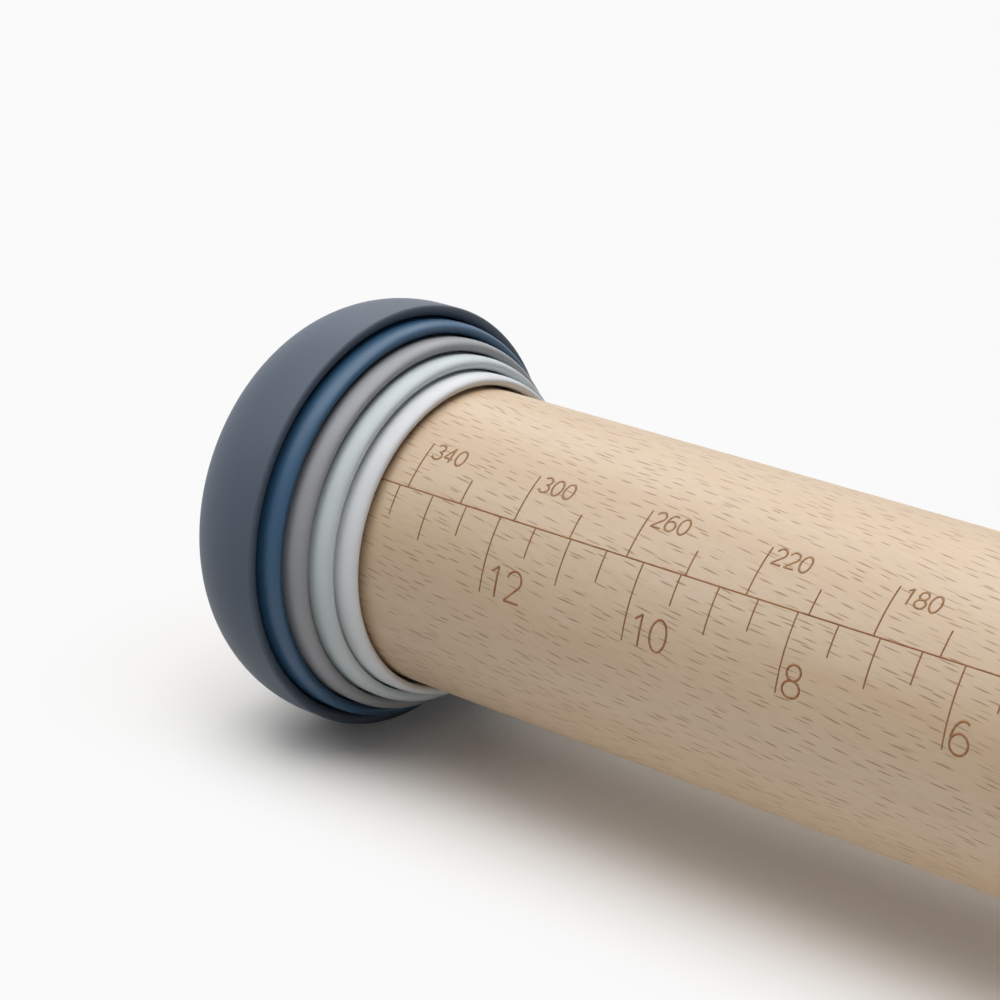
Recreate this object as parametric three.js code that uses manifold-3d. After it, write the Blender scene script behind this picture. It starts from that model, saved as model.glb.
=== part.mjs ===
// Adjustable rolling pin: a beech barrel whose ends each carry five nested thickness rings.
// The rings lift the barrel 2, 4, 6, 8 or 10 mm off the worktop. A hand screw clamps them.
// Millimetres. The axis of the barrel is X, +Z is up, and the origin is the middle of the barrel.

import * as THREE from 'three';
import * as BufferGeometryUtils from 'three/addons/utils/BufferGeometryUtils.js';
import Module from 'manifold-3d';

const wasm = await Module();
wasm.setup();

// Barrel
const barrelDiameter = 45;
const barrelLength = 366;
const barrelEdgeRound = 1.2;

// Thickness rings, from the one next to the wood outwards
const raiseStep = 2;
const webThickness = 3;
const rimReach = 8.8;
const barrelGap = 0.5;
const nestGap = 0.25;
const stackGap = 0.2;
const innerCorner = 1;
const outerCorner = 2;

// Outermost ring: a straight band, then a long rounded shoulder round the end cap
const bandReach = 8.8;
const bandWidth = 3.9;
const shoulderLength = 14;
const bandEdgeRound = 0.4;
const recessLand = 0.6;
const recessCorner = 1;

// End cap with a finger bar between two recesses
const capDiameter = 42;
const capGap = 0.3;
const capFloor = 3.6;
const capEdgeRound = 4.5;
const gripDepth = 7;
const gripDiameter = 29;
const gripCorner = 2;
const gripBarWall = 1.4;
const capCoreDepth = 1.4;
const capRimWall = 2.6;
const capHubWall = 3;

// Hand screw: a plain shank as wide as the crests of its thread
const studDiameter = 14;
const studEngagement = 25;
const studTipChamfer = 1.6;
const studNeckDepth = 1;
const studNeckLength = 6;
const tailDiameter = 6.4;
const tailGrip = 3.4;
const tailGap = 0.15;
const holeGap = 0.6;
const threadGap = 0.3;
const tipRoom = 3;

// Thrust washer, held on the screw by its neck
const washerThickness = 1;
const washerWidth = 6;
const washerGap = 0.4;
const seatGap = 0.2;

// Screw socket, glued into the end of the barrel
const socketWall = 4;
const socketBottom = 2.5;
const socketFlangeWidth = 3.5;
const socketFlangeThickness = 2.5;
const socketMouthChamfer = 1;
const grooveDepth = 0.6;
const grooveWidth = 3;
const glueGap = 0.1;

// One overrun for every cut
const overrun = 1;

// Facets
const ringFacets = 36;
const studFacets = 28;
const lipSteps = 4;
const cornerSteps = 2;
const shoulderSteps = 7;
const capEdgeSteps = 3;
const gripSteps = 6;

const barrelRadius = barrelDiameter / 2;
const barrelEnd = barrelLength / 2;
const capRadius = capDiameter / 2;
const studRadius = studDiameter / 2;
const tailRadius = tailDiameter / 2;
const gripRadius = gripDiameter / 2;

const rings = [
  { name: 'ring_2mm', color: 0xdcdfdf },
  { name: 'ring_4mm', color: 0xc3d0cc },
  { name: 'ring_6mm', color: 0x9d989c },
  { name: 'ring_8mm', color: 0x4a6b8e },
  { name: 'ring_10mm', color: 0x59626a },
];

const stackPitch = webThickness + stackGap;
const stackEnd = barrelEnd + rings.length * stackPitch;
const washerStart = stackEnd + seatGap;
const capStart = washerStart + washerThickness + seatGap;
const capEnd = capStart + capFloor + gripDepth;
const ringHoleRadius = studRadius + holeGap;
const socketBoreRadius = studRadius + threadGap;
const neckRadius = studRadius - studNeckDepth;

function plastic(color, roughness) {
  return new THREE.MeshStandardMaterial({ color, roughness, metalness: 0 });
}

const beech = plastic(0xd8bf9d, 0.6);

// An arc as profile points [radius, x]; angle 0 points away from the axis, 90 degrees along +X
function arc(radius, x, radiusReach, xReach, fromDegrees, toDegrees, steps) {
  const points = [];
  for (let i = 0; i <= steps; i++) {
    const angle = THREE.MathUtils.degToRad(fromDegrees + (toDegrees - fromDegrees) * i / steps);
    points.push([radius + radiusReach * Math.cos(angle), x + xReach * Math.sin(angle)]);
  }
  return points;
}

// Revolves profile points [radius, x] about the X axis; an open profile starts and ends on the axis
function turned(points, facets) {
  const outline = points.map(([radius, x]) => new THREE.Vector2(radius, x));
  const closesOnItself = points[0][0] > 0;
  if (closesOnItself) outline.push(outline[0].clone());
  const geometry = new THREE.LatheGeometry(outline, facets);
  geometry.rotateZ(-Math.PI / 2);
  return geometry;
}

function toSolid(geometry) {
  const bare = geometry.clone();
  bare.deleteAttribute('normal');
  bare.deleteAttribute('uv');
  const merged = BufferGeometryUtils.mergeVertices(bare);
  return new wasm.Manifold(new wasm.Mesh({
    numProp: 3,
    vertProperties: new Float32Array(merged.attributes.position.array),
    triVerts: new Uint32Array(merged.index.array),
  }));
}

function toGeometry(solid) {
  const mesh = solid.getMesh();
  const geometry = new THREE.BufferGeometry();
  geometry.setAttribute('position', new THREE.BufferAttribute(mesh.vertProperties, 3));
  geometry.setIndex(new THREE.BufferAttribute(mesh.triVerts, 1));
  geometry.computeVertexNormals();
  return geometry;
}

function ringOuterRadius(index) {
  return barrelRadius + raiseStep * (index + 1);
}

function ringInnerRadius(index) {
  return index === 0 ? barrelRadius + barrelGap : ringOuterRadius(index - 1) + nestGap;
}

function webStart(index) {
  return barrelEnd + stackGap + index * stackPitch;
}

const socketRadius = socketBoreRadius + socketWall;
const socketFlangeRadius = socketRadius + socketFlangeWidth;
const socketMouth = barrelEnd - glueGap;
const socketDepth = studEngagement + rings.length * stackPitch + tipRoom;
const socketFloor = barrelEnd - socketDepth;
const socketInnerEnd = socketFloor - socketBottom;

// Turned beech barrel with a stepped bore in each end for its screw socket
function makeBarrel() {
  const boreRadius = socketRadius + glueGap;
  const flangeSeatRadius = socketFlangeRadius + glueGap;
  const flangeSeat = socketMouth - socketFlangeThickness - glueGap;
  const boreEnd = socketInnerEnd - glueGap;
  const round = barrelEdgeRound;
  const half = [
    [0, boreEnd],
    [boreRadius, boreEnd],
    [boreRadius, flangeSeat],
    [flangeSeatRadius, flangeSeat],
    [flangeSeatRadius, barrelEnd],
    ...arc(barrelRadius - round, barrelEnd - round, round, round, 90, 0, cornerSteps),
  ];
  const mirrored = half.map(([radius, x]) => [radius, -x]);
  return turned([...mirrored, ...half.reverse()], ringFacets);
}

// A cup: a flat web with a hole for the screw, and a rim with a fully rounded lip
function makeInnerRing(index) {
  const inner = ringInnerRadius(index);
  const outer = ringOuterRadius(index);
  const lipRadius = (outer - inner) / 2;
  const web = webStart(index);
  const back = web + webThickness;
  return turned([
    ...arc(inner + lipRadius, web - rimReach + lipRadius, lipRadius, lipRadius, -180, 0, lipSteps),
    ...arc(outer - outerCorner, back - outerCorner, outerCorner, outerCorner, 0, 90, cornerSteps),
    [ringHoleRadius, back],
    [ringHoleRadius, web],
    ...arc(inner - innerCorner, web - innerCorner, innerCorner, innerCorner, 90, 0, cornerSteps - 1),
  ], ringFacets);
}

// The outermost ring: its band and shoulder close the end of the pin and hold the cap in a recess
function makeOuterRing(index) {
  const inner = ringInnerRadius(index);
  const outer = ringOuterRadius(index);
  const web = webStart(index);
  const floor = web + webThickness;
  const front = web - bandReach;
  const shoulderStart = front + bandWidth;
  const recessRadius = capRadius + capGap;
  const shoulderDrop = outer - recessRadius - recessLand;
  const round = bandEdgeRound;
  return turned([
    ...arc(inner + round, front + round, round, round, -180, -90, 1),
    ...arc(outer - round, front + round, round, round, -90, 0, cornerSteps),
    ...arc(outer - shoulderDrop, shoulderStart, shoulderDrop, shoulderLength, 0, 90, shoulderSteps),
    [recessRadius, shoulderStart + shoulderLength],
    ...arc(recessRadius - recessCorner, floor + recessCorner, recessCorner, recessCorner, 0, -90, 1),
    [ringHoleRadius, floor],
    [ringHoleRadius, web],
    ...arc(inner - innerCorner, web - innerCorner, innerCorner, innerCorner, 90, 0, cornerSteps - 1),
  ], ringFacets);
}

// One finger recess of the cap: the part of a round pocket on one side of the bar
function makeGripCutter(side) {
  const barHalf = tailRadius + tailGap + gripBarWall;
  const cornerHeight = barHalf + gripCorner;
  const cornerReach = gripRadius - gripCorner;
  const cornerAcross = Math.sqrt(cornerReach ** 2 - cornerHeight ** 2);
  const cornerAngle = Math.atan2(cornerHeight, cornerAcross);
  const outline = new THREE.Shape();
  outline.absarc(cornerAcross, cornerHeight, gripCorner, -Math.PI / 2, cornerAngle, false);
  outline.absarc(0, 0, gripRadius, cornerAngle, Math.PI - cornerAngle, false);
  outline.absarc(-cornerAcross, cornerHeight, gripCorner, Math.PI - cornerAngle, Math.PI * 1.5, false);
  const geometry = new THREE.ExtrudeGeometry(outline, {
    depth: gripDepth + overrun,
    bevelEnabled: false,
    curveSegments: gripSteps,
  });
  geometry.rotateZ(side > 0 ? 0 : Math.PI);
  geometry.rotateX(Math.PI / 2);
  geometry.rotateZ(Math.PI / 2);
  geometry.translate(capEnd - gripDepth, 0, 0);
  return toSolid(geometry);
}

// Domed end cap, cored out underneath between its hub and its rim
function makeCap() {
  const holeRadius = tailRadius + tailGap;
  const holeEnd = capStart + capFloor + tailGrip + tailGap;
  const coreTop = capStart + capCoreDepth;
  const hubRadius = neckRadius + washerGap + washerWidth + capHubWall;
  const round = capEdgeRound;
  const body = toSolid(turned([
    [0, holeEnd],
    [holeRadius, holeEnd],
    [holeRadius, capStart],
    [hubRadius, capStart],
    [hubRadius, coreTop],
    [capRadius - capRimWall, coreTop],
    [capRadius - capRimWall, capStart],
    [capRadius, capStart],
    ...arc(capRadius - round, capEnd - round, round, round, 0, 90, capEdgeSteps),
    [0, capEnd],
  ], ringFacets));
  return toGeometry(body.subtract(makeGripCutter(1)).subtract(makeGripCutter(-1)));
}

// Hand screw: tail in the cap, neck for the washer, shank through the rings into the socket
function makeStud() {
  const tip = barrelEnd - studEngagement;
  const head = capStart - tailGap;
  const neckEnd = head - studNeckLength;
  return turned([
    [0, tip],
    [studRadius - studTipChamfer, tip],
    [studRadius, tip + studTipChamfer],
    [studRadius, neckEnd - studNeckDepth],
    [neckRadius, neckEnd],
    [neckRadius, head],
    [tailRadius, head],
    [tailRadius, capStart + capFloor + tailGrip],
    [0, capStart + capFloor + tailGrip],
  ], studFacets);
}

function makeWasher() {
  const inner = neckRadius + washerGap;
  const outer = inner + washerWidth;
  return turned([
    [inner, washerStart],
    [outer, washerStart],
    [outer, washerStart + washerThickness],
    [inner, washerStart + washerThickness],
  ], studFacets);
}

// Blind socket for the screw, with a flange at its mouth and a glue groove round its sleeve
function makeSocket() {
  const flangeBack = socketMouth - socketFlangeThickness;
  const grooveMiddle = (flangeBack + socketInnerEnd) / 2;
  return turned([
    [0, socketInnerEnd],
    [socketRadius, socketInnerEnd],
    [socketRadius, grooveMiddle - grooveWidth / 2],
    [socketRadius - grooveDepth, grooveMiddle - grooveWidth / 2],
    [socketRadius - grooveDepth, grooveMiddle + grooveWidth / 2],
    [socketRadius, grooveMiddle + grooveWidth / 2],
    [socketRadius, flangeBack],
    [socketFlangeRadius, flangeBack],
    [socketFlangeRadius, socketMouth],
    [socketBoreRadius + socketMouthChamfer, socketMouth],
    [socketBoreRadius, socketMouth - socketMouthChamfer],
    [socketBoreRadius, socketFloor],
    [0, socketFloor],
  ], ringFacets);
}

function addPiece(group, name, geometry, material) {
  const mesh = new THREE.Mesh(geometry, material);
  mesh.name = name;
  group.add(mesh);
}

// Everything on one end of the barrel, drawn for the +X end
function makeEnd(side) {
  const end = new THREE.Group();
  addPiece(end, `${side}_screw_socket`, makeSocket(), plastic(0xd2d0c8, 0.5));
  rings.forEach((ring, index) => {
    const isOutermost = index === rings.length - 1;
    const geometry = isOutermost ? makeOuterRing(index) : makeInnerRing(index);
    addPiece(end, `${side}_${ring.name}`, geometry, plastic(ring.color, 0.45));
  });
  addPiece(end, `${side}_thrust_washer`, makeWasher(), plastic(0xe6e4dc, 0.4));
  addPiece(end, `${side}_hand_screw`, makeStud(), plastic(0x3b4046, 0.5));
  addPiece(end, `${side}_end_cap`, makeCap(), plastic(0x59626a, 0.45));
  return end;
}

const rollingPin = new THREE.Group();
addPiece(rollingPin, 'barrel', makeBarrel(), beech);

const rightEnd = makeEnd('right');
rollingPin.add(rightEnd);

const leftEnd = makeEnd('left');
leftEnd.rotation.z = Math.PI;
rollingPin.add(leftEnd);

export default rollingPin;
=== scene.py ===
import bpy, bmesh, math
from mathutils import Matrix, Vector


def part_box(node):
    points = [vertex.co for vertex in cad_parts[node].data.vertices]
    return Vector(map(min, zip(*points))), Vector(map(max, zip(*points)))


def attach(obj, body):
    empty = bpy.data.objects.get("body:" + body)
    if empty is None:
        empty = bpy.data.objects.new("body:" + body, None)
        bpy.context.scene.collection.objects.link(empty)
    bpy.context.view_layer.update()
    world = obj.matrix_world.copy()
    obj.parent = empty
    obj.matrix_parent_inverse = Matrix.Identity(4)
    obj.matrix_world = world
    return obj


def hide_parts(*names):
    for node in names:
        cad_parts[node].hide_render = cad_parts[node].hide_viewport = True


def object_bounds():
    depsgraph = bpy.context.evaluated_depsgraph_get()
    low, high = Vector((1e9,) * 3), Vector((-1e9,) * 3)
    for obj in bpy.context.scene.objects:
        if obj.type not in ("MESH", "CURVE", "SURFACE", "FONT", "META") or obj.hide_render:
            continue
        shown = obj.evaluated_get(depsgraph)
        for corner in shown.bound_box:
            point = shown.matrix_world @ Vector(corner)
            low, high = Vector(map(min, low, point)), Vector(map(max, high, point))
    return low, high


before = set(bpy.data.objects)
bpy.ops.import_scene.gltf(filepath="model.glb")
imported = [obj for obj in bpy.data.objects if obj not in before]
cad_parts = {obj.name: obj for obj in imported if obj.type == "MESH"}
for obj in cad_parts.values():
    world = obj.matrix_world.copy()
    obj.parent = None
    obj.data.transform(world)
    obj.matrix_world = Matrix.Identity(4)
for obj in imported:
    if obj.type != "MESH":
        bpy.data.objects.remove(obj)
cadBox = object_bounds()

mm = 0.001
close = 0.001 * mm   # places nearer than this are the same place
sides = {'left': -1, 'right': 1}   # which way along X each end looks
ringNames = ['ring_2mm', 'ring_4mm', 'ring_6mm', 'ring_8mm', 'ring_10mm']   # from the wood outwards
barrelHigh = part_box('barrel')[1]
barrelRadius, barrelEnd = barrelHigh.z, barrelHigh.x


# Small helpers for working by hand

def startPiece(name):
    bpy.ops.object.select_all(action='DESELECT')
    bpy.ops.mesh.primitive_plane_add(size=mm, location=(0, 0, 0))
    piece = bpy.context.object
    piece.name = piece.data.name = name
    return piece


def pickOnly(piece):
    bpy.ops.object.select_all(action='DESELECT')
    piece.select_set(True)
    bpy.context.view_layer.objects.active = piece


def selectVerts(piece, test):
    mesh = bmesh.from_edit_mesh(piece.data)
    for vert in mesh.verts:
        vert.select = test(vert)
    mesh.select_flush_mode()
    bmesh.update_edit_mesh(piece.data)


def applyModifier(piece, kind, **settings):
    pickOnly(piece)
    modifier = piece.modifiers.new(kind.title(), kind)
    for key, value in settings.items():
        setattr(modifier, key, value)
    bpy.ops.object.modifier_apply(modifier=modifier.name)


def smoothPiece(piece, degrees=32):
    pickOnly(piece)
    bpy.ops.object.shade_smooth_by_angle(angle=math.radians(degrees))


def arc(x, radius, reachX, reachRadius, fromDegrees, toDegrees, steps):
    points = []
    for i in range(steps + 1):
        angle = math.radians(fromDegrees + (toDegrees - fromDegrees) * i / steps)
        points.append((x + reachX * math.sin(angle), radius + reachRadius * math.cos(angle)))
    return points


def turnPiece(name, outline, steps=192, roundSteps=6):
    # the outline is (x, radius) or (x, radius, rounding) corners, in mm, drawn like a half section
    piece = startPiece(name)
    bpy.ops.object.mode_set(mode='EDIT')
    bpy.ops.mesh.merge(type='CENTER')
    here = Vector((0, 0, 0))
    for i, corner in enumerate(outline):
        step = Vector((corner[0] * mm, 0, corner[1] * mm)) - here
        if i == 0:
            bpy.ops.transform.translate(value=step)
        else:
            bpy.ops.mesh.extrude_region_move(TRANSFORM_OT_translate={'value': step})
        here = here + step
    if outline[0][1] > 0:   # clear of the axis, so the section closes on itself
        selectVerts(piece, lambda vert: len(vert.link_edges) == 1)
        bpy.ops.mesh.edge_face_add()
    for rounding in sorted({corner[2] for corner in outline if len(corner) > 2}, reverse=True):
        spots = [(c[0] * mm, c[1] * mm) for c in outline if len(c) > 2 and c[2] == rounding]
        selectVerts(piece, lambda vert: any(
            abs(vert.co.x - x) + abs(vert.co.z - z) < close for x, z in spots))
        bpy.ops.mesh.bevel(offset_type='OFFSET', offset=rounding * mm, segments=roundSteps,
                           affect='VERTICES', clamp_overlap=False)
    bpy.ops.mesh.select_all(action='SELECT')
    bpy.ops.mesh.spin(steps=steps, angle=2 * math.pi, center=(0, 0, 0), axis=(1, 0, 0))
    bpy.ops.mesh.select_all(action='SELECT')
    bpy.ops.mesh.remove_doubles(threshold=2 * close)
    bpy.ops.mesh.normals_make_consistent(inside=False)
    bpy.ops.object.mode_set(mode='OBJECT')
    smoothPiece(piece)
    return piece


def threadPiece(name, settings, start, turns):
    # a tooth section wound along X; the tooth rises from the wall at one end and sinks back at the other
    low, high, foot = settings['rootRadius'], settings['crestRadius'], settings['toothFoot'] / 2
    tip = settings['toothTip'] / 2
    piece = startPiece(name)
    bpy.ops.object.mode_set(mode='EDIT')
    bpy.ops.mesh.delete(type='ONLY_FACE')
    spots = [(start - foot, low), (start + foot, low), (start + tip, high), (start - tip, high)]
    mesh = bmesh.from_edit_mesh(piece.data)
    ring = sorted(mesh.verts, key=lambda vert: math.atan2(vert.co.y, vert.co.x))
    for vert, (x, radius) in zip(ring, spots):
        vert.co = (x * mm, 0, radius * mm)
    bmesh.update_edit_mesh(piece.data)
    bpy.ops.object.mode_set(mode='OBJECT')
    fade, pitch = settings['fadeTurns'], settings['pitch']
    applyModifier(piece, 'SCREW', axis='X', angle=2 * math.pi * turns, iterations=1,
                  screw_offset=pitch * turns * mm, steps=int(settings['stepsPerTurn'] * turns),
                  use_smooth_shade=False)
    for vert in piece.data.vertices:
        along = (vert.co.x / mm - start) / pitch
        share = max(0, min(1, along / fade, (turns - along) / fade))
        radius = math.hypot(vert.co.y, vert.co.z)
        if abs(radius / mm - high) < abs(radius / mm - low):
            squeeze = (low + (high - low) * share) * mm / radius
            vert.co.y *= squeeze
            vert.co.z *= squeeze
    pickOnly(piece)
    bpy.ops.object.mode_set(mode='EDIT')
    bpy.ops.mesh.select_all(action='DESELECT')
    bpy.ops.mesh.select_non_manifold()
    bpy.ops.mesh.edge_face_add()
    bpy.ops.mesh.select_all(action='SELECT')
    bpy.ops.mesh.normals_make_consistent(inside=False)
    bpy.ops.object.mode_set(mode='OBJECT')
    return piece


def joinPieces(piece, others):
    pickOnly(piece)
    for other in others:
        other.select_set(True)
    bpy.ops.object.join()
    return piece


def copyTo(piece, name, side):
    # the left end is the right end turned half round the upright axis
    pickOnly(piece)
    bpy.ops.object.duplicate(linked=False)
    made = bpy.context.object
    made.name = made.data.name = name
    if side < 0:
        made.rotation_euler.z = math.pi
        bpy.ops.object.transform_apply(location=False, rotation=True, scale=False)
    return made


# Shader maths as plain expressions: a Wire is one output socket, and sums on it add Math nodes

class Wire:
    def __init__(self, sheet, socket):
        self.sheet, self.socket = sheet, socket

    def sum(self, operation, *values):
        return self.sheet.node('ShaderNodeMath', {'operation': operation}, dict(enumerate(values)))

    def __add__(self, other):
        return self.sum('ADD', self, other)

    def __radd__(self, other):
        return self.sum('ADD', other, self)

    def __sub__(self, other):
        return self.sum('SUBTRACT', self, other)

    def __rsub__(self, other):
        return self.sum('SUBTRACT', other, self)

    def __mul__(self, other):
        return self.sum('MULTIPLY', self, other)

    def __rmul__(self, other):
        return self.sum('MULTIPLY', other, self)

    def __truediv__(self, other):
        return self.sum('DIVIDE', self, other)

    def __pow__(self, other):
        return self.sum('POWER', self, other)

    def most(self, other):
        return self.sum('MAXIMUM', self, other)

    def band(self, low, high):   # 0 below low, 1 above high, smooth between
        return self.sheet.node('ShaderNodeMapRange', {'interpolation_type': 'SMOOTHSTEP'},
                               {'Value': self, 'From Min': low, 'From Max': high})


class NodeSheet:
    def __init__(self, tree):
        self.tree = tree

    def put(self, socket, value):
        if isinstance(value, Wire):
            self.tree.links.new(value.socket, socket)
        elif socket.type == 'RGBA' and len(value) == 3:
            socket.default_value = (*value, 1)
        else:
            socket.default_value = value

    def node(self, kind, settings=None, sockets=None, output=0):
        made = self.tree.nodes.new(kind)
        for key, value in (settings or {}).items():
            setattr(made, key, value)
        for key, value in (sockets or {}).items():
            self.put(made.inputs[key], value)
        return Wire(self, made.outputs[output])

    def noise(self, vector, detail=2, roughness=0.5):
        return self.node('ShaderNodeTexNoise', {}, {
            'Vector': vector, 'Scale': 1, 'Detail': detail, 'Roughness': roughness})

    def mix(self, share, first, second):
        return self.node('ShaderNodeMix', {'data_type': 'RGBA'}, {0: share, 6: first, 7: second}, output=2)

    def vector(self, operation, *values, output=0):
        return self.node('ShaderNodeVectorMath', {'operation': operation}, dict(enumerate(values)), output)

    def join(self, x, y, z=0.0):
        return self.node('ShaderNodeCombineXYZ', {}, {0: x, 1: y, 2: z})

    def seenRay(self):   # 1 for what the camera sees, straight or in a reflection or through glass
        rays = [self.node('ShaderNodeLightPath', output=name)
                for name in ('Is Camera Ray', 'Is Glossy Ray', 'Is Transmission Ray')]
        return rays[0].most(rays[1]).most(rays[2])


class Finish(NodeSheet):
    def __init__(self, name, baseColour, roughness, specular=0.5):
        self.material = bpy.data.materials.new(name)
        self.material.use_nodes = True
        super().__init__(self.material.node_tree)
        self.shader = self.tree.nodes['Principled BSDF']
        self.set('Base Color', baseColour)
        self.set('Roughness', roughness)
        self.set('Specular IOR Level', specular)
        self.place = self.node('ShaderNodeTexCoord', output='Object')

    def set(self, name, value):
        self.put(self.shader.inputs[name], value)

    def stretched(self, scale):   # object coordinates in mm, times scale
        perMetre = tuple(s / mm for s in scale)
        return self.node('ShaderNodeMapping', {}, {'Vector': self.place, 'Scale': perMetre})

    def placeInMm(self):
        return [self.node('ShaderNodeSeparateXYZ', {}, {0: self.place}, output=i) / mm for i in range(3)]

    def bump(self, height, distance, strength):
        self.set('Normal', self.node('ShaderNodeBump', {}, {
            'Height': height, 'Distance': distance * mm, 'Strength': strength}))


def linear(red, green, blue):   # a colour, 0 to 255, as the shaders want it
    shares = [value / 255 for value in (red, green, blue)]
    return tuple(s / 12.92 if s < 0.04045 else ((s + 0.055) / 1.055) ** 2.4 for s in shares)


beechSettings = {
    'lightWood': linear(218, 194, 166),
    'darkWood': linear(207, 179, 144),
    'yearColour': linear(196, 163, 129),
    'fleckColour': linear(200, 170, 137),
    'poreColour': linear(146, 108, 76),
    'grainTilt': 0.11,          # the grain runs slightly round the barrel, mm per mm
    'poreCell': (6.9, 1.3),     # mm along and across the grain, one pore to a cell and layer
    'poreLong': 2.0,            # mm, half length
    'poreWide': 0.125,          # mm, half width
    'longShares': (0.55, 0.5),  # the least share of it, and what chance adds at most
    'wideShares': (0.7, 0.5),
    'poreScatter': 0.62,        # 0 in rows, 1 at random
    'poreLayers': ((0.0, 0.0), (3.5, 7.5)),   # the second layer fills the gaps of the first
    'poreFade': (0.4, 1.1),     # from full colour to none, in half lengths and widths
    'faintPores': (-0.1, 0.6),  # chances of 0 to 1: no pore below the first, a full one above the second
    # each scale is in patterns to the mm; these two run along the barrel and both ways across it
    'wanderScale': (0.035, 0.06, 0.06), 'wander': 3,   # mm that the grain strays
    'driftScale': (0.012, 0.09, 0.09), 'driftShare': 0.6,
    # and these along the grain and across it
    'fibreScale': (0.07, 2.4), 'fibreShare': 0.4, 'toneBand': (0.28, 0.72),
    'fineScale': (0.5, 8), 'fineBand': (0.5, 0.8), 'fineShare': 0.16,
    'fleckScale': (0.3, 1.1), 'fleckBand': (0.45, 0.7), 'fleckShare': 0.3,
    'yearScale': (0.004, 0.23), 'yearBand': (0.42, 0.7), 'yearShare': 0.18,
    'poreShare': 0.72,
    'roughness': 0.5, 'fibreRoughness': 0.12, 'poreRoughness': 0.15,
    'sheen': 1.0,               # the shader's specular level
    'relief': 0.03,             # mm
    'fibreRelief': 0.3, 'fineRelief': 0.25, 'reliefStrength': 0.4,
}


def makePores(wood, along, across, settings):
    # short dark pores: a thin long spot in each cell of a stretched Voronoi pattern, layer on layer
    cellLong, cellWide = settings['poreCell']
    pores = None
    for shiftLong, shiftWide in settings['poreLayers']:
        spot = wood.join(along / cellLong + shiftLong, across / cellWide + shiftWide)
        cells = {'voronoi_dimensions': '2D', 'feature': 'F1'}
        sockets = {'Vector': spot, 'Scale': 1, 'Randomness': settings['poreScatter']}
        nearest = wood.node('ShaderNodeTexVoronoi', cells, sockets, output='Position')
        chances = wood.node('ShaderNodeTexVoronoi', cells, sockets, output='Color')
        longer, deeper, thicker = [wood.node('ShaderNodeSeparateColor', {}, {0: chances}, output=i)
                                   for i in range(3)]
        leastLong, moreLong = settings['longShares']
        leastWide, moreWide = settings['wideShares']
        halfLong = settings['poreLong'] * (leastLong + moreLong * longer)
        halfWide = settings['poreWide'] * (leastWide + moreWide * thicker)
        away = wood.vector('MULTIPLY', wood.vector('SUBTRACT', spot, nearest), (cellLong, cellWide, 0))
        reach = wood.vector('LENGTH', wood.vector('DIVIDE', away, wood.join(halfLong, halfWide, 1.0)),
                            output='Value')
        mask = (1 - reach.band(*settings['poreFade'])) * deeper.band(*settings['faintPores'])
        pores = mask if pores is None else pores.most(mask)
    return pores


def makeBeech(settings):
    wood = Finish('beech', settings['lightWood'], settings['roughness'], settings['sheen'])
    x, y, z = wood.placeInMm()
    around = y.sum('ARCTAN2', y, z) * (barrelRadius / mm)
    wander = wood.noise(wood.stretched(settings['wanderScale']), detail=1)
    across = around + x * settings['grainTilt'] + wander * settings['wander']

    def grained(scale, detail, roughness=0.5):
        return wood.noise(wood.join(x * scale[0], across * scale[1]), detail=detail, roughness=roughness)

    pores = makePores(wood, x, across, settings)
    drift = wood.noise(wood.stretched(settings['driftScale']), detail=2)
    fibre = grained(settings['fibreScale'], detail=4, roughness=0.62)
    fine = grained(settings['fineScale'], detail=2)
    flecks = grained(settings['fleckScale'], detail=2, roughness=0.6)
    years = grained(settings['yearScale'], detail=1)

    lightness = drift * settings['driftShare'] + fibre * settings['fibreShare']
    lightness = lightness.band(*settings['toneBand'])
    tone = wood.mix(lightness, settings['darkWood'], settings['lightWood'])
    tone = wood.mix(years.band(*settings['yearBand']) * settings['yearShare'], tone, settings['yearColour'])
    tone = wood.mix(fine.band(*settings['fineBand']) * settings['fineShare'], tone, settings['darkWood'])
    tone = wood.mix(flecks.band(*settings['fleckBand']) * settings['fleckShare'], tone,
                    settings['fleckColour'])
    tone = wood.mix(pores * settings['poreShare'], tone, settings['poreColour'])
    wood.set('Base Color', tone)
    smoothest = settings['roughness'] - settings['fibreRoughness'] / 2
    wood.set('Roughness', smoothest + fibre * settings['fibreRoughness']
             + pores * settings['poreRoughness'])
    height = fibre * settings['fibreRelief'] + fine * settings['fineRelief'] - pores
    wood.bump(height, settings['relief'], settings['reliefStrength'])
    return wood.material


plasticSettings = {
    'cloudScale': 0.05,         # patterns to the mm
    'grainScale': 5,
    'cloudShare': 0.7, 'grainShare': 0.3, 'toneBand': (0.35, 0.65),
    'lighter': 1.06,
    'lift': 0.003,              # added to the lighter tone, so that dark plastics vary too
    'darker': 0.94,
    'smoother': 0.05, 'cloudRoughness': 0.06, 'grainRoughness': 0.05,
    'relief': 0.008,            # mm
    'reliefStrength': 0.5,
}


def makePlastic(name, colour, roughness=0.42, specular=0.5, settings=plasticSettings):
    # satin moulded plastic: a soft sheen over a very fine spark-eroded texture
    plastic = Finish(name, colour, roughness, specular)
    cloud = plastic.noise(plastic.stretched((settings['cloudScale'],) * 3), detail=2)
    grain = plastic.noise(plastic.stretched((settings['grainScale'],) * 3), detail=3, roughness=0.6)
    lighter = tuple(min(1, c * settings['lighter'] + settings['lift']) for c in colour)
    darker = tuple(c * settings['darker'] for c in colour)
    tone = (cloud * settings['cloudShare'] + grain * settings['grainShare']).band(*settings['toneBand'])
    plastic.set('Base Color', plastic.mix(tone, darker, lighter))
    plastic.set('Roughness', roughness - settings['smoother'] + cloud * settings['cloudRoughness']
                + grain * settings['grainRoughness'])
    plastic.bump(grain, settings['relief'], settings['reliefStrength'])
    return plastic.material


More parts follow.
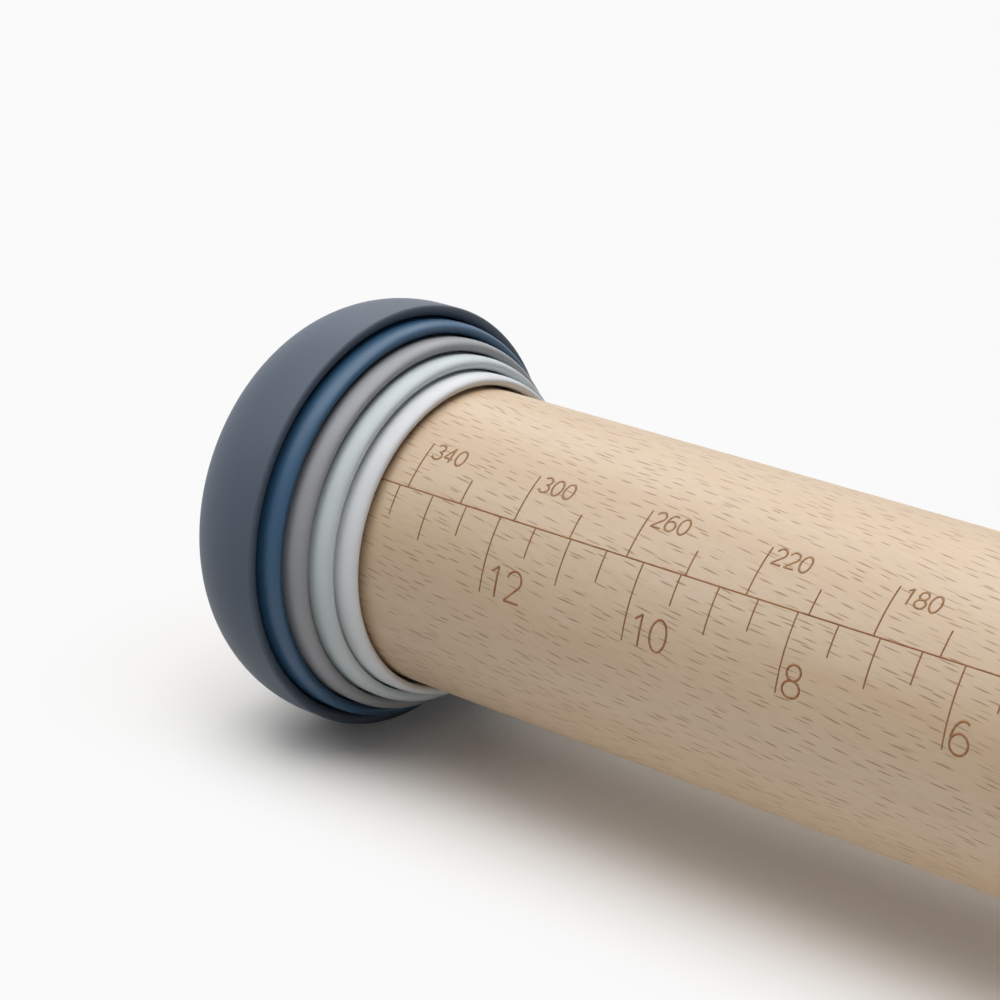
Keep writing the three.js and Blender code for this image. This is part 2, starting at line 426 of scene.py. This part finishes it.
burntSettings = {
    'skipScale': (0.5, 3, 3),   # patterns to the mm, along the barrel and each way across it
    'skipBand': (0.35, 0.75),
    'broadScale': (0.06, 0.1, 0.1),
    'broadBand': (0.45, 0.7), 'broadShare': 0.35,
    'roughness': 0.7, 'skipRoughness': 0.15,
    'sheen': 0.1,
}


def makeBurnt(name, deep, shallow, settings=burntSettings):
    # laser-burnt lines: brown, paler where the burn skips over the hard grain
    burnt = Finish(name, deep, settings['roughness'], settings['sheen'])
    skip = burnt.noise(burnt.stretched(settings['skipScale']), detail=3, roughness=0.7)
    broad = burnt.noise(burnt.stretched(settings['broadScale']), detail=1)
    colour = burnt.mix(skip.band(*settings['skipBand']), deep, shallow)
    paler = broad.band(*settings['broadBand']) * settings['broadShare']
    burnt.set('Base Color', burnt.mix(paler, colour, shallow))
    burnt.set('Roughness', settings['roughness'] + skip * settings['skipRoughness'])
    return burnt.material


finishes = {
    'beech': makeBeech(beechSettings),
    'burnt': makeBurnt('burntScale', linear(158, 109, 73), linear(192, 145, 105)),
    'palerBurnt': makeBurnt('burntMillimetres', linear(178, 133, 96), linear(206, 164, 124)),
    'ring_2mm': makePlastic('nearWhitePlastic', linear(236, 239, 242)),
    'ring_4mm': makePlastic('paleGreenPlastic', linear(216, 226, 228)),
    'ring_6mm': makePlastic('warmGreyPlastic', linear(163, 165, 169)),
    'ring_8mm': makePlastic('denimPlastic', linear(51, 91, 124)),
    'ring_10mm': makePlastic('slatePlastic', linear(86, 97, 112), roughness=0.5, specular=0.3),
    'naturalNylon': makePlastic('naturalNylon', linear(226, 223, 212), roughness=0.45),
    'darkNylon': makePlastic('darkNylon', linear(58, 63, 70), roughness=0.48),
}
print('materials ready:', ', '.join(finishes))


def finishPiece(piece, material, body, slotName, *replaced):
    piece.data.materials.clear()
    piece.data.materials.append(material)
    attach(piece, body)
    if replaced:
        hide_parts(*replaced)


# Barrel: one turned piece of beech with a stepped bore in each end

barrelSettings = {
    'edgeRound': 1.2,
    'mouthRound': 0.3,
    'glueGap': 0.1,
    'steps': 256,
}


def makeBarrel(settings):
    end, radius, gap = barrelEnd / mm, barrelRadius / mm, settings['glueGap']
    socketLow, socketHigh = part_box('right_screw_socket')
    flange, innerEnd = socketHigh.z / mm + gap, socketLow.x / mm - gap
    sleeve = flange - socketSettings['flangeWidth']
    seat = socketHigh.x / mm - socketSettings['flangeThickness'] - gap
    half = [(innerEnd, 0), (innerEnd, sleeve), (seat, sleeve), (seat, flange),
            (end, flange, settings['mouthRound']), (end, radius, settings['edgeRound'])]
    mirrored = [(-corner[0], *corner[1:]) for corner in half]
    return turnPiece('barrelWood', mirrored + half[::-1], steps=settings['steps'])


# Screw socket in the barrel's end, with a coarse thread inside

socketSettings = {
    'flangeWidth': 3.5,
    'flangeThickness': 2.5,
    'wall': 4,
    'bottom': 2.5,
    'mouthChamfer': 1,
    'endRound': 0.5,
    'lipRound': 0.3,
    'toothLower': 0.4,          # how much lower the tooth is than the screw's
    'toothSink': 0.1,           # how far its foot is sunk in the wall
    'crestGap': 0.3,            # between the crests of the two threads
    'threadFromMouth': 4,
    'threadTurns': 7,
}
screwSettings = {
    'pitch': 5,
    'crestRadius': 7,
    'rootRadius': 5.7,
    'toothFoot': 3.1,
    'toothTip': 1.3,
    'stepsPerTurn': 48,
    'fadeTurns': 0.35,
    'tailRadius': 3.2,
    'tailGap': 0.15,
    'tailRound': 0.4,
    'neckRadius': 6,
    'neckLength': 6,
    'collarLength': 9,          # the plain part between the thread and the neck, with its slopes
    'collarSlope': (1.4, 1),
    'tipSlope': (1.4, 1),
    'tipRound': 0.6,
    'smallRound': 0.3,
    'threadFromTip': 1.6,
    'threadTurns': 6,
}


def makeSocket(settings):
    low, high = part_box('right_screw_socket')
    start, end, flange = low.x / mm, high.x / mm, high.z / mm
    sleeve = flange - settings['flangeWidth']
    tooth = screwSettings['crestRadius'] - screwSettings['rootRadius']
    bore = sleeve - settings['wall'] + tooth - settings['toothLower']
    chamfer = settings['mouthChamfer']
    socket = turnPiece('socketSleeve', [
        (start, 0), (start, sleeve, settings['endRound']), (end - settings['flangeThickness'], sleeve),
        (end - settings['flangeThickness'], flange), (end, flange, settings['lipRound']),
        (end, bore + chamfer), (end - chamfer, bore), (start + settings['bottom'], bore),
        (start + settings['bottom'], 0)], steps=128, roundSteps=3)
    inside = dict(screwSettings, rootRadius=bore + settings['toothSink'],
                  crestRadius=screwSettings['crestRadius'] + settings['crestGap'])
    threadStart = end - settings['threadFromMouth'] - settings['threadTurns'] * inside['pitch']
    thread = threadPiece('socketThread', inside, threadStart, settings['threadTurns'])
    return joinPieces(socket, [thread])


def makeScrew(settings):
    low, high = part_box('right_hand_screw')
    tip, tailEnd = low.x / mm, high.x / mm
    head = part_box('right_end_cap')[0].x / mm - settings['tailGap']
    neck, root, tail = settings['neckRadius'], settings['rootRadius'], settings['tailRadius']
    crest, small = settings['crestRadius'], settings['smallRound']
    neckStart = head - settings['neckLength']
    tipLong, tipDrop = settings['tipSlope']
    slopeIn, slopeOut = settings['collarSlope']
    collar = neckStart - settings['collarLength']
    shank = turnPiece('screwShank', [
        (tip, 0), (tip, root - tipDrop, settings['tipRound']), (tip + tipLong, root), (collar, root),
        (collar + slopeIn, crest, small), (neckStart - slopeOut, crest, small), (neckStart, neck),
        (head, neck, small), (head, tail), (tailEnd, tail, settings['tailRound']), (tailEnd, 0)],
        steps=128, roundSteps=3)
    thread = threadPiece('screwThread', settings, tip + settings['threadFromTip'], settings['threadTurns'])
    return joinPieces(shank, [thread])


# The five thickness rings of one end, drawn for the right end

ringSettings = {
    'barrelGap': 0.5,
    'nestGap': 0.25,
    'webThickness': 3,
    'holeRadius': 7.6,
    'holeRound': 0.3,
    'outerCorner': 2,
    'innerCorner': 1,
    'beadFront': 2.3,           # the bead rises to full size over this length, then falls off gently
    'beadBack': 2.6,
    'beadEnd': 25,              # degrees round the back of the bead, where the shallow groove is deepest
    'grooveRise': 0.8,
    'beadSteps': (9, 14, 6),    # inside, front and back of the bead
    'steps': 224,
}
bandSettings = {
    'bandWidth': 3.9,
    'edgeRound': 0.5,
    'innerRound': 1.1,
    'recessGap': 0.3,
    'recessLand': 0.6,
    'recessCorner': 1,
    'recessEdge': 0.25,
    'floorFromFront': 11.8,
    'shoulderSteps': 22,
}


def ringSizes(index):
    low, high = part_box('right_' + ringNames[index])
    if index == 0:
        inner = barrelRadius / mm + ringSettings['barrelGap']
    else:
        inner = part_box('right_' + ringNames[index - 1])[1].z / mm + ringSettings['nestGap']
    return low.x / mm, high.x / mm, inner, high.z / mm


def makeInnerRing(index):
    front, back, inner, outer = ringSizes(index)
    half = (outer - inner) / 2
    middle, peak = outer - half, front + ringSettings['beadFront']
    insideSteps, frontSteps, backSteps = ringSettings['beadSteps']
    bead = arc(front + half, middle, half, half, 180, 270, insideSteps)
    bead += arc(peak, middle, ringSettings['beadFront'], half, 270, 360, frontSteps)[1:]
    bead += arc(peak, middle, ringSettings['beadBack'], half, 0, ringSettings['beadEnd'], backSteps)[1:]
    bead.append((bead[-1][0] + ringSettings['grooveRise'], outer))
    web = back - ringSettings['webThickness']
    hole, small = ringSettings['holeRadius'], ringSettings['holeRound']
    return turnPiece('turned_' + ringNames[index], [
        *bead, (back, outer, ringSettings['outerCorner']),
        (back, hole, small), (web, hole, small), (web, inner, ringSettings['innerCorner'])],
        steps=ringSettings['steps'], roundSteps=8)


def makeOuterRing(index):
    front, back, inner, outer = ringSizes(index)
    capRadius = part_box('right_end_cap')[1].z / mm
    recess = capRadius + bandSettings['recessGap']
    drop = outer - recess - bandSettings['recessLand']
    shoulderStart = front + bandSettings['bandWidth']
    floor = front + bandSettings['floorFromFront']
    web = floor - ringSettings['webThickness']
    hole, small = ringSettings['holeRadius'], ringSettings['holeRound']
    shoulder = arc(shoulderStart, outer - drop, back - shoulderStart, drop, 0, 90,
                   bandSettings['shoulderSteps'])
    return turnPiece('turned_' + ringNames[index], [
        (front, inner, bandSettings['innerRound']), (front, outer, bandSettings['edgeRound']),
        *shoulder[:-1], (back, outer - drop), (back, recess, bandSettings['recessEdge']),
        (floor, recess, bandSettings['recessCorner']), (floor, hole, small), (web, hole, small),
        (web, inner, ringSettings['innerCorner'])], steps=ringSettings['steps'])


# Thrust washer and end cap

washerSettings = {'width': 6, 'edgeRound': 0.2}
capSettings = {
    'edgeRound': 4.5,
    'coreDepth': 1.4,
    'rimWall': 2.6,
    'hubRadius': 15.4,
    'gripDepth': 7,
    'gripRadius': 14.5,
    'gripCorner': 2,
    'gripFloorRound': 1.2,
    'gripOverrun': 1,           # how far the cut starts outside the cap
    'barHalf': 4.75,            # half the width of the bar between the two finger recesses
    'pocketEdge': 0.6,
    'sharpAngle': 55,           # degrees; the pocket's edges turn more than this, the finer ones less
    'tailDepth': 7.15,
    'tailMouthRound': 0.2,
    'smallRound': 0.3,
    'rimRound': 0.4,
}


def makeWasher(settings):
    low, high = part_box('right_thrust_washer')
    start, end, outer = low.x / mm, high.x / mm, high.z / mm
    inner, edge = outer - settings['width'], settings['edgeRound']
    return turnPiece('turnedWasher', [
        (start, inner, edge), (start, outer, edge), (end, outer, edge), (end, inner, edge)],
        steps=96, roundSteps=3)


def selectNothing(mesh):
    for item in [*mesh.verts, *mesh.edges, *mesh.faces]:
        item.select = False


def selectCorners(cutter, bar):   # the two upright edges where the bar meets the round wall
    mesh = bmesh.from_edit_mesh(cutter.data)
    selectNothing(mesh)
    onBar = [v for v in mesh.verts if abs(v.co.z - bar) < close]
    across = max(abs(v.co.y) for v in onBar)
    for edge in mesh.edges:
        a, b = edge.verts
        atWall = all(v in onBar and abs(abs(v.co.y) - across) < close for v in (a, b))
        if atWall and a.co.y * b.co.y > 0:
            edge.select = True
    bmesh.update_edit_mesh(cutter.data)


def selectFloor(cutter, floor):   # the rim of the pocket's floor, where an upright wall meets it
    mesh = bmesh.from_edit_mesh(cutter.data)
    selectNothing(mesh)
    for edge in mesh.edges:
        onFloor = all(abs(v.co.x - floor) < close for v in edge.verts)
        if onFloor and any(abs(face.normal.x) < 0.5 for face in edge.link_faces):
            edge.select = True
    bmesh.update_edit_mesh(cutter.data)


def makeGripCutter(settings, upward):
    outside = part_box('right_end_cap')[1].x
    floor, top = outside - settings['gripDepth'] * mm, outside + settings['gripOverrun'] * mm
    bar = settings['barHalf'] * upward * mm
    bpy.ops.object.select_all(action='DESELECT')
    bpy.ops.mesh.primitive_cylinder_add(
        vertices=128, radius=settings['gripRadius'] * mm, depth=top - floor,
        location=((floor + top) / 2, 0, 0), rotation=(0, math.pi / 2, 0))
    cutter = bpy.context.object
    bpy.ops.object.transform_apply(location=True, rotation=True, scale=True)
    bpy.ops.object.mode_set(mode='EDIT')
    bpy.ops.mesh.select_all(action='SELECT')
    bpy.ops.mesh.bisect(plane_co=(0, 0, bar), plane_no=(0, 0, upward), use_fill=True,
                        clear_inner=True, clear_outer=False)
    selectCorners(cutter, bar)
    bpy.ops.mesh.bevel(offset=settings['gripCorner'] * mm, segments=8, affect='EDGES')
    selectFloor(cutter, floor)
    bpy.ops.mesh.bevel(offset=settings['gripFloorRound'] * mm, segments=6, affect='EDGES')
    bpy.ops.mesh.select_all(action='SELECT')
    bpy.ops.mesh.normals_make_consistent(inside=False)
    bpy.ops.object.mode_set(mode='OBJECT')
    return cutter


def makeCap(settings):
    low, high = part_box('right_end_cap')
    start, end, radius = low.x / mm, high.x / mm, high.z / mm
    hole = screwSettings['tailRadius'] + screwSettings['tailGap']
    core, rim, hub = start + settings['coreDepth'], radius - settings['rimWall'], settings['hubRadius']
    deep, small = start + settings['tailDepth'], settings['smallRound']
    cap = turnPiece('turnedCap', [
        (deep, 0), (deep, hole), (start, hole, settings['tailMouthRound']), (start, hub, small),
        (core, hub, small), (core, rim, small), (start, rim, small), (start, radius, settings['rimRound']),
        (end, radius, settings['edgeRound']), (end, 0)],
        steps=192, roundSteps=10)
    for upward in (1, -1):
        cutter = makeGripCutter(settings, upward)
        applyModifier(cap, 'BOOLEAN', operation='DIFFERENCE', object=cutter, solver='EXACT')
        pickOnly(cutter)
        bpy.ops.object.delete()
    applyModifier(cap, 'BEVEL', width=settings['pocketEdge'] * mm, segments=4, limit_method='ANGLE',
                  angle_limit=math.radians(settings['sharpAngle']), use_clamp_overlap=True)
    smoothPiece(cap)
    return cap


barrel = makeBarrel(barrelSettings)
finishPiece(barrel, finishes['beech'], 'barrel', 'beech', 'barrel')
print('barrel turned')

drawn = {
    'screw_socket': (makeSocket(socketSettings), 'naturalNylon', 'natural_nylon', 'barrel'),
    'thrust_washer': (makeWasher(washerSettings), 'naturalNylon', 'natural_nylon', 'washer'),
    'hand_screw': (makeScrew(screwSettings), 'darkNylon', 'dark_nylon', 'cap'),
    'end_cap': (makeCap(capSettings), 'ring_10mm', 'slate_plastic', 'cap'),
}
ringSlots = ['white_plastic', 'green_plastic', 'grey_plastic', 'blue_plastic', 'slate_plastic']
for index, ringName in enumerate(ringNames):
    made = makeOuterRing(index) if index == len(ringNames) - 1 else makeInnerRing(index)
    drawn[ringName] = (made, ringName, ringSlots[index], ringName)
print('end pieces drawn:', ', '.join(drawn))

for side, facing in sides.items():
    for node, (pattern, finish, slotName, bodyName) in drawn.items():
        body = bodyName if bodyName == 'barrel' else f'{side}_{bodyName}'
        piece = copyTo(pattern, f'{side}_{node}_shown', facing)
        finishPiece(piece, finishes[finish], body, slotName, f'{side}_{node}')
for pattern, *_ in drawn.values():
    pickOnly(pattern)
    bpy.ops.object.delete()
print('both ends dressed')


# The scale burnt into the barrel: rolled-out diameter in mm above the line, in inches below it,
# counted both ways from the middle, so each mark sits at half its value

inch = 25.4
markSettings = {
    'lineAngle': 38.73,         # degrees, from straight ahead (-Y) up over the barrel
    'lineWidth': 0.24,
    'lineEnd': 2,               # how far the line stops short of the wood's edge
    'mmStep': 20, 'mmLast': 340, 'mmLabelEvery': 40, 'mmLabelFirst': 20,
    'mmLong': 7.55, 'mmShort': 3.75,
    'mmDigitHeight': 2.55, 'mmDigitFoot': 5.2, 'mmDigitGap': 1.02, 'mmDigitStroke': 0.32,
    'inchHalves': 27, 'inchLabelEvery': 2,
    'inchEven': 10.9, 'inchOdd': 6.75, 'inchHalf': 4.5,
    'inchDigitHeight': 4.35, 'inchDigitFoot': -10.95, 'inchDigitGap': 0.9, 'inchDigitStroke': 0.34,
    'digitPitch': 0.81,         # times the digit height
    'aroundStep': 0.6,          # a point this often where a stroke runs round the barrel
    'lift': 0.004,
    'flatten': 0.12,
}


def bow(centreU, centreV, radiusU, radiusV, fromDegrees, toDegrees, steps=18):
    points = []
    for i in range(steps + 1):
        angle = math.radians(fromDegrees + (toDegrees - fromDegrees) * i / steps)
        points.append((centreU + radiusU * math.cos(angle), centreV + radiusV * math.sin(angle)))
    return points


# strokes of the plain digits, in a cell as wide as this and 1 high
digitWidth = 0.62
digitHalf = digitWidth / 2
digitStrokes = {
    '0': [bow(digitHalf, 0.5, digitHalf, 0.5, 90, 450, 28)],
    '1': [[(0.16, 0.8), (0.41, 1)], [(0.41, 1), (0.41, 0)]],
    '2': [bow(digitHalf, 0.7, 0.29, 0.3, 170, -35) + [(0, 0)], [(0, 0), (digitWidth, 0)]],
    '3': [bow(0.3, 0.76, 0.26, 0.24, 155, -90), bow(0.3, 0.26, digitHalf, 0.26, 90, -160)],
    '4': [[(0.44, 1), (0, 0.27)], [(0, 0.27), (digitWidth, 0.27)], [(0.44, 1), (0.44, 0)]],
    '6': [bow(digitHalf, digitHalf, digitHalf, digitHalf, 90, 450, 24),
          bow(0.36, 0.4, 0.36, 0.6, 180, 62)],
    '8': [bow(digitHalf, 0.76, 0.25, 0.24, -90, 270, 20),
          bow(digitHalf, 0.26, digitHalf, 0.26, 90, 450, 22)],
}


def addStroke(curve, corners, width, settings):
    # long straight runs get points in between, so that they can bend round the barrel
    points = [corners[0]]
    for (x0, s0), (x1, s1) in zip(corners, corners[1:]):
        steps = max(1, math.ceil(abs(s1 - s0) / settings['aroundStep']))
        points += [(x0 + (x1 - x0) * i / steps, s0 + (s1 - s0) * i / steps) for i in range(1, steps + 1)]
    closed = len(points) > 2 and math.dist(points[0], points[-1]) < close / mm
    if closed:
        points.pop()
    spline = curve.splines.new('POLY')
    spline.use_cyclic_u = closed
    spline.points.add(len(points) - 1)
    for point, (x, s) in zip(spline.points, points):
        point.co = (x * mm, s * mm, 0, 1)
        point.radius = width / 2


def addTick(curve, x, reach, settings):
    addStroke(curve, [(x, 0), (x, reach)], settings['lineWidth'], settings)


def addNumber(curve, value, x, outward, height, foot, gap, stroke, settings):
    # the number reads left to right; it stands on the side of its tick that faces the middle
    pitch = settings['digitPitch'] * height
    wide = pitch * len(value)
    start = x + gap if outward < 0 else x - gap - wide + (pitch - digitWidth * height)
    for place, digit in enumerate(value):
        for points in digitStrokes[digit]:
            addStroke(curve, [(start + place * pitch + u * height, foot + v * height) for u, v in points],
                      stroke, settings)


def startCurve(name):
    curve = bpy.data.curves.new(name, 'CURVE')
    curve.dimensions = '3D'
    curve.bevel_depth, curve.bevel_resolution, curve.use_fill_caps = mm, 0, True
    return curve


def wrapCurve(curve, settings):
    # makes the flat drawing a mesh, lays it round the barrel and flattens its strokes
    bpy.ops.object.select_all(action='DESELECT')
    marks = bpy.data.objects.new(curve.name, curve)
    bpy.context.collection.objects.link(marks)
    pickOnly(marks)
    bpy.ops.object.convert(target='MESH')
    marks = bpy.context.object
    radius = barrelRadius / mm
    for vert in marks.data.vertices:
        x, s, lift = vert.co / mm
        angle = math.radians(settings['lineAngle']) + s / radius
        reach = radius + settings['lift'] + lift * settings['flatten']
        vert.co = Vector((x, -reach * math.cos(angle), reach * math.sin(angle))) * mm
    return marks


def makeMarks(settings):
    curve, numbers = startCurve('scaleMarks'), startCurve('millimetreNumbers')
    lineReach = barrelEnd / mm - settings['lineEnd']
    addStroke(curve, [(-lineReach, 0), (lineReach, 0)], settings['lineWidth'], settings)
    mmNumber = [settings[key] for key in ('mmDigitHeight', 'mmDigitFoot', 'mmDigitGap', 'mmDigitStroke')]
    inchNumber = [settings[key] for key in
                  ('inchDigitHeight', 'inchDigitFoot', 'inchDigitGap', 'inchDigitStroke')]
    for outward in (-1, 1):
        for value in range(settings['mmStep'], settings['mmLast'] + 1, settings['mmStep']):
            x = outward * value / 2
            labelled = (value - settings['mmLabelFirst']) % settings['mmLabelEvery'] == 0
            addTick(curve, x, settings['mmLong' if labelled else 'mmShort'], settings)
            if labelled:
                addNumber(numbers, str(value), x, outward, *mmNumber, settings)
        for halves in range(1, settings['inchHalves'] + 1):
            x = outward * halves / 2 * inch / 2
            inches, isHalf = divmod(halves, 2)
            labelled = not isHalf and inches % settings['inchLabelEvery'] == 0
            reach = settings['inchEven' if labelled else 'inchHalf' if isHalf else 'inchOdd']
            addTick(curve, x, -reach, settings)
            if labelled:
                addNumber(curve, str(inches), x, outward, *inchNumber, settings)
    addTick(curve, 0, settings['mmLong'], settings)
    addTick(curve, 0, -settings['inchEven'], settings)
    return wrapCurve(curve, settings), wrapCurve(numbers, settings)


marks, numbers = makeMarks(markSettings)
finishPiece(marks, finishes['burnt'], 'barrel', 'beech')
finishPiece(numbers, finishes['palerBurnt'], 'barrel', 'beech')
print('scale marks:', len(marks.data.polygons) + len(numbers.data.polygons), 'faces')


# Floor, light and camera

stageSettings = {
    'floorSize': 12,            # m
    'floorColour': (0.95, 0.935, 0.91),     # a little warm: painted bounce light, for the light that the wood throws on it
    'dimFloorColour': (0.36, 0.36, 0.37),   # as it lights the pin from far off and beyond the left end
    'floorRoughness': 0.85,
    'floorSheen': 0.1,
    'dimReach': (80, 220),
    'dimLeftReach': (120, 220),
    'lightestShadow': 0.03,     # how much of the background's white fills even the deepest shadow
    'backgroundColour': linear(250, 250, 250),
    'shadowReach': (14, 44),    # mm from the pin, from where the floor fades to the plain background
    'fillLight': (0.0, 0.05),   # from the dark side of the room to its bright side
    'brightSide': (-0.1, -0.25, 0.963),
    'brightReach': (0.2, 1.0),
    'suns': {                   # strength, degrees across, and tilt in degrees about X and Y
        'overhead': (1.6, 52, (2, 0)),
        'fromLeft': (0.85, 46, (25, -30)),
        'fromBehind': (0.85, 46, (-31, -32)),
    },
}
cameraSettings = {
    'place': (108.304, -310.791, 165.3),   # mm
    'turn': (69.235, 0, 41.658),
    'lens': 109.754,
    'sensor': 36,
    'nearest': 0.01,            # m
}


def makeFloor(settings):
    bpy.ops.object.select_all(action='DESELECT')
    bpy.ops.mesh.primitive_plane_add(size=settings['floorSize'], location=(0, 0, cadBox[0].z))
    floor = bpy.context.object
    floor.name = 'floor'
    paper = Finish('whitePaper', settings['floorColour'], settings['floorRoughness'],
                   settings['floorSheen'])
    x, y, _ = paper.placeInMm()
    beyondEnd = (x.sum('ABSOLUTE', x) - cadBox[1].x / mm).most(0)
    away = (beyondEnd * beyondEnd + y * y) ** 0.5
    lightest = settings['lightestShadow']
    clean = (lightest + (1 - lightest) * away.band(*settings['shadowReach'])) * paper.seenRay()
    dim = away.band(*settings['dimReach']).most((0 - x).band(*settings['dimLeftReach']))
    dim = dim * (1 - paper.seenRay())
    paper.set('Base Color', paper.mix(dim, settings['floorColour'], settings['dimFloorColour']))
    glow = paper.node('ShaderNodeEmission', {}, {'Color': settings['backgroundColour'], 'Strength': 1})
    shade = Wire(paper, paper.shader.outputs[0])
    surface = paper.node('ShaderNodeMixShader', {}, {0: clean, 1: shade, 2: glow})
    paper.put(paper.tree.nodes['Material Output'].inputs['Surface'], surface)
    floor.data.materials.append(paper.material)


def makeLight(settings):
    for name, (strength, spread, tilt) in settings['suns'].items():
        bpy.ops.object.light_add(type='SUN', rotation=tuple(math.radians(a) for a in (*tilt, 0)))
        bpy.context.object.name = name
        sun = bpy.context.object.data
        sun.energy, sun.angle = strength, math.radians(spread)
    world = bpy.data.worlds.new('studio')
    bpy.context.scene.world = world
    world.use_nodes = True
    sky = NodeSheet(world.node_tree)
    toward = sky.node('ShaderNodeTexCoord', output='Generated')
    facing = sky.vector('DOT_PRODUCT', toward, settings['brightSide'], output='Value')
    low, high = settings['fillLight']
    fill = low + (high - low) * facing.band(*settings['brightReach'])
    seen = sky.seenRay()
    strength = seen + (1 - seen) * fill
    sky.put(sky.tree.nodes['Background'].inputs['Strength'], strength)
    sky.put(sky.tree.nodes['Background'].inputs['Color'], settings['backgroundColour'])


def makeCamera(settings):
    bpy.ops.object.camera_add(location=tuple(v * mm for v in settings['place']),
                              rotation=tuple(math.radians(a) for a in settings['turn']))
    camera = bpy.context.object
    camera.data.lens, camera.data.sensor_width = settings['lens'], settings['sensor']
    camera.data.clip_start = settings['nearest']
    bpy.context.scene.camera = camera


makeFloor(stageSettings)
makeLight(stageSettings)
makeCamera(cameraSettings)
bpy.context.scene.view_settings.view_transform = 'Standard'
print('stage, light and camera set')
